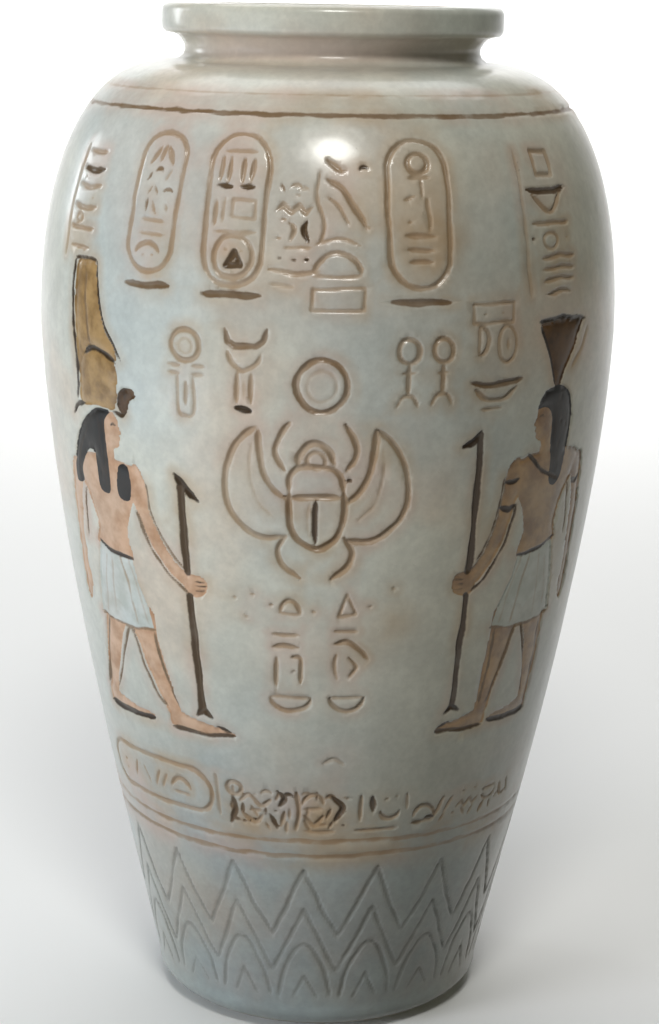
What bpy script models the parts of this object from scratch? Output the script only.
"""Tall open jar in glazed ceramic with Egyptian style carving.

The jar is one hollow cast body, turned about the Z axis and standing on its
foot at z = 0. The carving is cut into its outer wall: lines are V grooves, and
the two standing figures are shallow sunk relief. Sizes are in metres. Places
on the wall are an angle in degrees, 0 facing -Y and growing towards +X, and a
height above the foot.
"""

import math

import bmesh
import bpy
from mathutils import Vector

# Driving dimensions of the body
HEIGHT = 0.450
BELLY_RADIUS = 0.1276
BELLY_HEIGHT = 0.3155
FOOT_RADIUS = 0.0752
FOOT_EDGE_WIDTH = 0.021
FOOT_EDGE_HEIGHT = 0.013
NECK_RADIUS = 0.0642
NECK_HEIGHT = 0.0112
NECK_FLARE = 0.005
LIP_RADIUS = 0.0742
LIP_HEIGHT = 0.0128
LIP_ROUNDING = 0.0035
WALL = 0.008
FLOOR = 0.012

# Curvature of the body: how full the belly and the shoulder are
LOWER_FULLNESS = 1.5
LOWER_START = 1.07
SHOULDER_FULLNESS = 2.1
SHOULDER_SQUARENESS = 2.5

# Carving tools
LINE_WIDTH = 0.0026
LINE_DEPTH = 0.0013
STAFF_WIDTH = 0.0038
BAND_WIDTH = 0.0026
BAND_DEPTH = 0.0012
RELIEF_DEPTH = 0.0009
RELIEF_STEP = 0.00035
CUTTER_CLEARANCE = 0.0014

# Heights of the turned bands, and the points of the triangle bands, in layout units
UPPER_BAND = 412.0
LOWER_BANDS = (94.0, 101.0)
PETAL_COUNT = 18
PETAL_START = -4.0
PETAL_TIPS = (87.0, 66.0)
PETAL_VALLEYS = (53.0, 34.0)

# Facets
ROUND_SEGMENTS = 48
WIDEST_STEP = 10.5

# Degrees between the plain strokes of a sign row
SIGN_SPACING = 5.5

# Colours of the glaze outside and of the ground of the carving
GLAZE_COLOUR = (0.56, 0.56, 0.50, 1.0)
CARVING_COLOUR = (0.30, 0.22, 0.13, 1.0)

# The heights that follow from the body's dimensions
SHOULDER_TOP = HEIGHT - LIP_HEIGHT - NECK_HEIGHT
SHOULDER_RADIUS = NECK_RADIUS + NECK_FLARE * 0.6
MOUTH_RADIUS = NECK_RADIUS - WALL

# Heights in the carving are laid out in units of which the jar is 454 high
UNIT = HEIGHT / 454.0


def clear_scene():
    """Remove every object of the open scene."""
    for item in list(bpy.data.objects):
        bpy.data.objects.remove(item, do_unlink=True)


def outer_radius(z):
    """Radius of the plain outer wall at the height z."""
    if z <= BELLY_HEIGHT:
        rise = (z - FOOT_EDGE_HEIGHT) / (BELLY_HEIGHT - FOOT_EDGE_HEIGHT)
        rise = min(max(rise, 0.0), 1.0)
        swell = (1.0 - (1.0 - rise) ** LOWER_FULLNESS) ** LOWER_START
        return FOOT_RADIUS + (BELLY_RADIUS - FOOT_RADIUS) * swell
    rise = min((z - BELLY_HEIGHT) / (SHOULDER_TOP - BELLY_HEIGHT), 1.0)
    swell = (1.0 - rise ** SHOULDER_FULLNESS) ** (1.0 / SHOULDER_SQUARENESS)
    return SHOULDER_RADIUS + (BELLY_RADIUS - SHOULDER_RADIUS) * swell


def wall_normal(z):
    """Outward normal of the outer wall as (radial, vertical) parts."""
    step = 0.0005
    slope = (outer_radius(z + step) - outer_radius(z - step)) / (2.0 * step)
    length = math.hypot(1.0, slope)
    return 1.0 / length, -slope / length


def wall_point(degrees, z, lift=0.0):
    """Point on the outer wall, moved out along the wall's normal by lift."""
    across, up = wall_normal(z)
    radius = outer_radius(z) + across * lift
    angle = math.radians(degrees)
    return Vector((radius * math.sin(angle), -radius * math.cos(angle), z + up * lift))


def wall_direction(degrees, z):
    """Outward normal of the outer wall as a vector."""
    across, up = wall_normal(z)
    angle = math.radians(degrees)
    return Vector((across * math.sin(angle), -across * math.cos(angle), up))


def quarter_ellipse(centre, width, height, first, last, steps):
    """Points (radius, z) of an elliptic arc between two angles in degrees."""
    points = []
    for index in range(steps + 1):
        angle = math.radians(first + (last - first) * index / steps)
        points.append((centre[0] + width * math.cos(angle), centre[1] + height * math.sin(angle)))
    return points


def band_groove(z):
    """Profile points (radius, z) of one turned V groove round the body."""
    across, up = wall_normal(z)
    half = BAND_WIDTH / 2.0
    low = (outer_radius(z - half * across), z - half * across)
    bottom = (outer_radius(z) - across * BAND_DEPTH, z - up * BAND_DEPTH)
    high = (outer_radius(z + half * across), z + half * across)
    return [low, bottom, high]


def outer_profile():
    """Profile of the outside, from the middle of the foot to the mouth's edge."""
    foot_centre = (FOOT_RADIUS - FOOT_EDGE_WIDTH, FOOT_EDGE_HEIGHT)
    points = [(0.0, 0.0)]
    points += quarter_ellipse(foot_centre, FOOT_EDGE_WIDTH, FOOT_EDGE_HEIGHT, -90.0, 0.0, 3)

    middle = LOWER_BANDS[0] * UNIT * 0.55
    points.append((outer_radius(middle), middle))
    for band in LOWER_BANDS:
        points += band_groove(band * UNIT)
    low = points[-1][1]
    rows = 5
    for index in range(1, rows + 1):
        z = low + (BELLY_HEIGHT - low) * (index / rows) ** 0.92
        points.append((outer_radius(z), z))

    upper_band = UPPER_BAND * UNIT
    rows = 5
    for index in range(1, rows):
        z = BELLY_HEIGHT + (upper_band - BAND_WIDTH - BELLY_HEIGHT) * math.sin(math.pi / 2.0 * index / rows)
        points.append((outer_radius(z), z))
    points += band_groove(upper_band)
    z = (points[-1][1] + 2.0 * SHOULDER_TOP) / 3.0
    points.append((outer_radius(z), z))

    # The neck is a cove between the shoulder's crease and the lip
    cove_top = HEIGHT - LIP_HEIGHT
    points.append((SHOULDER_RADIUS, SHOULDER_TOP))
    points.append((NECK_RADIUS, SHOULDER_TOP + NECK_HEIGHT * 0.4))
    points.append((NECK_RADIUS + NECK_FLARE * 0.3, SHOULDER_TOP + NECK_HEIGHT * 0.75))
    points.append((NECK_RADIUS + NECK_FLARE, cove_top))
    lower = (LIP_RADIUS - LIP_ROUNDING, cove_top + LIP_ROUNDING)
    upper = (LIP_RADIUS - LIP_ROUNDING, HEIGHT - LIP_ROUNDING)
    points += quarter_ellipse(lower, LIP_ROUNDING, LIP_ROUNDING, -60.0, 0.0, 2)
    points += quarter_ellipse(upper, LIP_ROUNDING, LIP_ROUNDING, 0.0, 90.0, 2)
    return points


def inner_profile():
    """Profile of the hollow, from the mouth's edge down to the middle of the floor."""
    edge = LIP_ROUNDING * 0.5
    points = [(MOUTH_RADIUS + edge, HEIGHT), (MOUTH_RADIUS, HEIGHT - edge)]
    points.append((MOUTH_RADIUS, SHOULDER_TOP - WALL * 0.4))
    rises = (0.99, 0.85, 0.5, 0.0)
    stations = [BELLY_HEIGHT + (SHOULDER_TOP - BELLY_HEIGHT) * rise for rise in rises]
    bottom = FLOOR + WALL
    stations += [bottom + (BELLY_HEIGHT - bottom) * rise for rise in (0.66, 0.33, 0.0)]
    for z in stations:
        across, up = wall_normal(z)
        points.append((outer_radius(z) - across * WALL, z - up * WALL))
    corner = points[-1][0] - WALL
    points += [(corner, FLOOR), (0.0, FLOOR)]
    return points


def make_material(name, colour, roughness):
    """Principled material with a plain colour and roughness."""
    material = bpy.data.materials.new(name)
    material.use_nodes = True
    shader = material.node_tree.nodes["Principled BSDF"]
    shader.inputs["Base Color"].default_value = colour
    shader.inputs["Roughness"].default_value = roughness
    shader.inputs["Metallic"].default_value = 0.0
    return material


def make_jar():
    """The hollow body, turned from its profile about the Z axis."""
    shape = bmesh.new()
    verts = [shape.verts.new((radius, 0.0, z)) for radius, z in outer_profile() + inner_profile()]
    edges = [shape.edges.new(pair) for pair in zip(verts, verts[1:])]
    bmesh.ops.spin(shape, geom=verts + edges, cent=(0, 0, 0), axis=(0, 0, 1),
                   angle=math.tau, steps=ROUND_SEGMENTS, use_merge=True)
    bmesh.ops.remove_doubles(shape, verts=shape.verts, dist=0.000001)
    bmesh.ops.recalc_face_normals(shape, faces=shape.faces)
    mesh = bpy.data.meshes.new("jar")
    shape.to_mesh(mesh)
    shape.free()
    mesh.shade_smooth()
    mesh.set_sharp_from_angle(angle=math.radians(40.0))
    mesh.materials.append(make_material("glazed_ceramic", GLAZE_COLOUR, 0.25))
    mesh.materials.append(make_material("carved_ground", CARVING_COLOUR, 0.45))
    jar = bpy.data.objects.new("jar", mesh)
    bpy.context.collection.objects.link(jar)
    return jar


def spread(path, closed=False):
    """The path with points added where two neighbours lie far apart."""
    ends = path[1:] + path[:1] if closed else path[1:]
    points = []
    for start, end in zip(path, ends):
        turned = math.remainder(end[0] - start[0], 360.0)
        steps = max(1, math.ceil(abs(turned) / WIDEST_STEP))
        for index in range(steps):
            share = index / steps
            points.append((start[0] + turned * share, start[1] + (end[1] - start[1]) * share))
    return points if closed else points + [path[-1]]


def cut_line(shape, path, closed=False, width=LINE_WIDTH, depth=LINE_DEPTH):
    """Add a V groove cutter along a path of (degrees, z) places on the wall."""
    path = spread(path, closed)
    count = len(path)
    rings = []
    for index, place in enumerate(path):
        before = path[index - 1] if closed or index > 0 else place
        after = path[(index + 1) % count] if closed or index < count - 1 else place
        here = wall_point(*place)
        normal = wall_direction(*place)
        arriving = (here - wall_point(*before)).normalized()
        leaving = (wall_point(*after) - here).normalized()
        along = (arriving + leaving).normalized()
        sideways = normal.cross(along).normalized()
        bend = max(along.dot(leaving), along.dot(arriving), 0.5)
        reach = width / 2.0 * (depth + CUTTER_CLEARANCE) / depth / bend
        top = here + normal * CUTTER_CLEARANCE
        corners = (here - normal * depth, top - sideways * reach, top + sideways * reach)
        rings.append([shape.verts.new(corner) for corner in corners])
    pairs = list(zip(rings, rings[1:] + rings[:1])) if closed else list(zip(rings, rings[1:]))
    for ring, following in pairs:
        for side in range(3):
            turn = (side + 1) % 3
            shape.faces.new((ring[side], ring[turn], following[turn], following[side]))
    if not closed:
        shape.faces.new(rings[0])
        shape.faces.new(rings[-1])


def cut_panel(shape, left, right, depth, columns=2):
    """Add a sunk panel cutter between two edges of (degrees, z) places."""
    layers = []
    for lift in (-depth, CUTTER_CLEARANCE):
        rows = []
        for start, end in zip(left, right):
            row = []
            for index in range(columns + 1):
                share = index / columns
                place = [a + (b - a) * share for a, b in zip(start, end)]
                row.append(shape.verts.new(wall_point(*place, lift)))
            rows.append(row)
        layers.append(rows)
        for row, above in zip(rows, rows[1:]):
            for index in range(columns):
                shape.faces.new((row[index], row[index + 1], above[index + 1], above[index]))

    def border(rows):
        """The panel's outline as one loop of vertices."""
        return rows[0] + [row[-1] for row in rows[1:]] + rows[-1][-2::-1] + [
            row[0] for row in rows[-2:0:-1]]

    low, high = border(layers[0]), border(layers[1])
    for index, vert in enumerate(low):
        turn = (index + 1) % len(low)
        shape.faces.new((vert, low[turn], high[turn], high[index]))


def place_at(centre, across, up):
    """Place on the wall at a distance across and up from a centre, both in metres."""
    degrees, z = centre
    return degrees + math.degrees(across / outer_radius(z)), z + up


def at(degrees, height):
    """Place on the wall at a height in layout units."""
    return degrees, height * UNIT


def oval(centre, half_width, half_height, first=0.0, last=360.0, steps=12):
    """Path along an ellipse on the wall; a full turn leaves out its last point."""
    count = steps if last - first >= 360.0 else steps + 1
    path = []
    for index in range(count):
        angle = math.radians(first + (last - first) * index / steps)
        across = half_width * math.cos(angle)
        path.append(place_at(centre, across, half_height * math.sin(angle)))
    return path


def stadium(centre, half_width, half_height, steps=4):
    """Closed path of a cartouche ring: straight sides and round ends."""
    radius = min(half_width, half_height)
    path = []
    for corner in range(4):
        sign_x = (1, -1, -1, 1)[corner]
        sign_z = (1, 1, -1, -1)[corner]
        for index in range(steps // 2 + 1):
            angle = math.radians(90.0 * corner + 90.0 * index / (steps // 2))
            across = sign_x * (half_width - radius) + radius * math.cos(angle)
            up = sign_z * (half_height - radius) + radius * math.sin(angle)
            path.append(place_at(centre, across, up))
    unique = [place for place, other in zip(path, path[1:] + path[:1])
              if math.dist(place, other) > 0.0001]
    return unique


def cut_cartouche(shape, degrees, middle, half_width=0.0116, half_height=0.0275):
    """A name ring on its base bar, with plain strokes inside."""
    centre = at(degrees, middle)
    cut_line(shape, stadium(centre, half_width, half_height), closed=True)
    bar = -half_height - 0.0048
    cut_line(shape, [place_at(centre, -half_width, bar), place_at(centre, half_width, bar)])
    for across in (-0.004, 0.004):
        cut_line(shape, [place_at(centre, across, 0.007), place_at(centre, across, 0.018)])
    cut_line(shape, [place_at(centre, -0.006, -0.001), place_at(centre, 0.006, -0.001)])
    cut_line(shape, oval(place_at(centre, 0.0, -0.0135), 0.0055, 0.0055, steps=6), closed=True)


def cut_petals(shape, tip, valley):
    """One ring of triangles round the lower body."""
    path = []
    for index in range(PETAL_COUNT):
        degrees = PETAL_START + 360.0 / PETAL_COUNT * index
        path.append((degrees, tip * UNIT))
        path.append((degrees + 180.0 / PETAL_COUNT, valley * UNIT))
    cut_line(shape, path, closed=True)


def cut_ankh(shape, degrees, middle):
    """Looped cross."""
    centre = at(degrees, middle)
    cut_line(shape, oval(place_at(centre, 0.0, 0.0105), 0.0055, 0.0065, steps=8), closed=True)
    cut_line(shape, [place_at(centre, -0.0085, 0.0005), place_at(centre, 0.0085, 0.0005)])
    cut_line(shape, [place_at(centre, 0.0, -0.003), place_at(centre, 0.0, -0.0165)], width=0.004)


def cut_horned_pillar(shape, degrees, middle):
    """Pillar under a bowl with two horns."""
    centre = at(degrees, middle)
    cut_line(shape, oval(place_at(centre, 0.0, 0.0165), 0.0075, 0.0155, 180.0, 360.0, 6))
    cut_line(shape, [place_at(centre, -0.0035, 0.0115), place_at(centre, 0.0035, 0.0115)])
    for across in (-0.0032, 0.0032):
        stroke = [place_at(centre, across, -0.004), place_at(centre, across, -0.019)]
        cut_line(shape, stroke)


def cut_basket(shape, degrees, middle, half_width=0.0115, drop=0.006):
    """Basket: a level line over a bowl."""
    centre = at(degrees, middle)
    cut_line(shape, oval(centre, half_width, drop, 180.0, 360.0, 4), closed=True)


def cut_small_signs(shape):
    """Discs, loops, bars and baskets between the large motifs."""
    cut_line(shape, oval(at(-0.7, 307.0), 0.0103, 0.0103, steps=16), closed=True)
    cut_ankh(shape, -26.3, 311.0)
    cut_horned_pillar(shape, -15.0, 314.0)
    for degrees in (15.0, 21.5):
        head = at(degrees, 321.0)
        cut_line(shape, oval(head, 0.0042, 0.005, steps=8), closed=True)
        cut_line(shape, [place_at(head, 0.0, -0.008), place_at(head, 0.0, -0.019)])
    cut_basket(shape, 32.7, 306.0)
    for across in (27.5, 33.0):
        cut_line(shape, [at(across, 319.0), at(across + 3.5, 322.0), at(across, 327.0)])
    cut_line(shape, [at(27.0, 334.0), at(36.5, 334.0)])
    for degrees in (-7.0, 5.8):
        cut_line(shape, [at(degrees - 3.0, 203.0), at(degrees + 3.0, 203.0)])
        cut_line(shape, oval(at(degrees, 213.0), 0.0045, 0.004, steps=6), closed=True)
        for offset in (-2.4, 2.0):
            cut_line(shape, [at(degrees + offset, 178.0), at(degrees + offset, 190.0)])
        cut_basket(shape, degrees, 171.5, 0.0085, 0.0055)


def cut_sign_column(shape, degrees):
    """Column of plain level strokes beside the cartouches."""
    for index in range(5):
        half = 4.4 - (index % 2) * 1.4
        height = 392.0 - 11.0 * index
        cut_line(shape, [at(degrees - half, height), at(degrees + half, height)])


def cut_sign_row(shape, first, last, height):
    """Row of plain short strokes, standing and lying by turns."""
    steps = round((last - first) / SIGN_SPACING)
    for index in range(steps + 1):
        degrees = first + (last - first) * index / steps
        if index % 2:
            cut_line(shape, [at(degrees - 2.2, height), at(degrees + 2.2, height)])
        else:
            cut_line(shape, [at(degrees, height - 6.0), at(degrees, height + 6.0)])


def cut_scarab(shape, degrees, middle):
    """Winged beetle, drawn about the middle of its body."""
    centre = at(degrees, middle)
    # Wing cases, thorax and head, then the lines between them
    cut_line(shape, oval(place_at(centre, 0.0, -0.0035), 0.0112, 0.0205, 180.0, 360.0, 8))
    cut_line(shape, oval(place_at(centre, 0.0, -0.0005), 0.0120, 0.0115, 0.0, 180.0, 6))
    cut_line(shape, oval(place_at(centre, 0.0, 0.0105), 0.0066, 0.0100, 10.0, 170.0, 5))
    cut_line(shape, [place_at(centre, -0.0105, -0.0015), place_at(centre, 0.0105, -0.0015)])
    cut_line(shape, [place_at(centre, 0.0, -0.0050), place_at(centre, 0.0, -0.0210)])
    foreleg = ((0.0135, 0.0110), (0.0185, 0.0185), (0.0125, 0.0295))
    hind_leg = ((0.0135, -0.0200), (0.0128, -0.0265), (0.0060, -0.0355))
    for side in (-1, 1):
        for leg in (foreleg, hind_leg):
            cut_line(shape, [place_at(centre, side * across, up) for across, up in leg])
        wing_root = place_at(centre, side * 0.0085, 0.0060)
        lower_root = place_at(centre, side * 0.0110, 0.0130)
        for root, half_width, half_height, first, last, steps in (
                (wing_root, 0.0290, 0.0240, -100.0, 58.0, 9),
                (lower_root, 0.0142, 0.0175, -85.0, 15.0, 4)):
            path = oval(root, half_width, half_height, first, last, steps)
            if side < 0:
                path = [(2.0 * root[0] - turn, height) for turn, height in path]
            cut_line(shape, path)


def cut_figure(shape, degrees, foot, height, facing, crowned):
    """Standing figure in a kilt with a long staff, in sunk relief.

    Places in the figure are shares of its own height: forward of its axis in
    the direction it faces, and up from its soles.
    """
    ground = foot * UNIT
    tall = height * UNIT

    def here(forward, up):
        """Place on the wall of a point of the figure."""
        z = ground + up * tall
        return degrees + facing * math.degrees(forward * tall / outer_radius(z)), z

    def limb(points, widths, level, columns=1):
        """Sunk strip along a limb, as wide as given at each of its points."""
        left, right = [], []
        for (forward, up), width in zip(points, widths):
            left.append(here(forward - width / 2.0, up))
            right.append(here(forward + width / 2.0, up))
        cut_panel(shape, left, right, RELIEF_DEPTH + RELIEF_STEP * level, columns)

    # Legs and feet
    limb([(-0.05, 0.35), (-0.10, 0.20), (-0.13, 0.05)], [0.11, 0.085, 0.055], 0)
    limb([(0.00, 0.0), (-0.06, 0.045)], [0.27, 0.13], 1)
    limb([(0.08, 0.35), (0.11, 0.20), (0.16, 0.05)], [0.11, 0.085, 0.055], 0)
    limb([(0.25, 0.0), (0.18, 0.045)], [0.27, 0.12], 2)
    # Kilt, trunk and neck
    limb([(0.0, 0.31), (0.0, 0.45), (0.0, 0.56)], [0.26, 0.23, 0.17], 3, 2)
    limb([(0.0, 0.575), (0.0, 0.69), (0.0, 0.80)], [0.16, 0.20, 0.32], 0, 2)
    # Arms: the rear one hangs, the front one reaches to the staff
    limb([(-0.20, 0.36), (-0.195, 0.58), (-0.18, 0.79)], [0.06, 0.06, 0.075], 1)
    limb([(0.305, 0.46), (0.20, 0.58), (0.165, 0.79)], [0.06, 0.075, 0.08], 2)
    # Neck, oval face, and hair falling behind and in one lock before the shoulder
    limb([(0.03, 0.81), (0.035, 0.88)], [0.07, 0.06], 1)
    limb([(0.05, 0.875), (0.06, 0.91), (0.06, 0.955), (0.05, 0.99)], [0.04, 0.09, 0.10, 0.07], 2)
    hair = [(-0.045, 0.73), (-0.04, 0.84), (-0.02, 0.93), (0.0, 0.975), (0.005, 0.995)]
    limb(hair, [0.08, 0.09, 0.11, 0.10, 0.04], 3)
    limb([(0.075, 0.73), (0.075, 0.82)], [0.055, 0.055], 4)
    if crowned:
        limb([(0.03, 1.01), (0.02, 1.15)], [0.19, 0.15], 1, 2)
        limb([(-0.01, 1.165), (-0.045, 1.30), (-0.06, 1.43)], [0.15, 0.10, 0.085], 2)
    else:
        limb([(-0.005, 1.01), (-0.005, 1.20)], [0.03, 0.22], 1, 2)
    # Staff with its slanted head
    cut_line(shape, [here(0.33, 0.06), here(0.325, 0.80)], width=STAFF_WIDTH)
    cut_line(shape, [here(0.29, 0.83), here(0.375, 0.765)], width=STAFF_WIDTH)


def cut_with(jar, name, draw, overlapping=False):
    """Cut the jar with what draw adds to a cutter."""
    shape = bmesh.new()
    draw(shape)
    bmesh.ops.triangulate(shape, faces=shape.faces)
    bmesh.ops.recalc_face_normals(shape, faces=shape.faces)
    mesh = bpy.data.meshes.new(name)
    shape.to_mesh(mesh)
    shape.free()
    mesh.materials.append(jar.data.materials["carved_ground"])
    cutter = bpy.data.objects.new(name, mesh)
    bpy.context.collection.objects.link(cutter)
    cutter.hide_render = True
    cutter.display_type = "WIRE"
    cut = jar.modifiers.new(name, "BOOLEAN")
    cut.operation = "DIFFERENCE"
    cut.solver = "EXACT"
    cut.use_self = overlapping
    cut.object = cutter


def draw_petals(shape):
    """Both rings of triangles."""
    for tip, valley in zip(PETAL_TIPS, PETAL_VALLEYS):
        cut_petals(shape, tip, valley)


def draw_signs(shape):
    """Cartouches, sign columns, sign rows and small motifs."""
    for degrees in (-35.2, -17.7, 17.0, 180.0):
        cut_cartouche(shape, degrees, 376.0)
    for degrees in (-56.0, 0.0, 47.0):
        cut_sign_column(shape, degrees)
    cut_line(shape, stadium(at(-47.5, 120.5), 0.036, 0.0105), closed=True)
    cut_sign_row(shape, -22.0, 22.0, 116.0)
    cut_sign_row(shape, 28.0, 50.0, 114.0)
    cut_small_signs(shape)


def draw_figures(shape):
    """The two figures that face the beetle, in sunk relief."""
    cut_figure(shape, -48.5, 150.0, 140.0, 1, crowned=True)
    cut_figure(shape, 49.0, 151.0, 147.0, -1, crowned=False)


def main():
    """Build the jar and its carving."""
    clear_scene()
    jar = make_jar()
    cut_with(jar, "cut_petals", draw_petals)
    cut_with(jar, "cut_signs", draw_signs, overlapping=True)
    cut_with(jar, "cut_scarab", lambda shape: cut_scarab(shape, -1.7, 262.0), overlapping=True)
    cut_with(jar, "cut_figures", draw_figures, overlapping=True)


main()
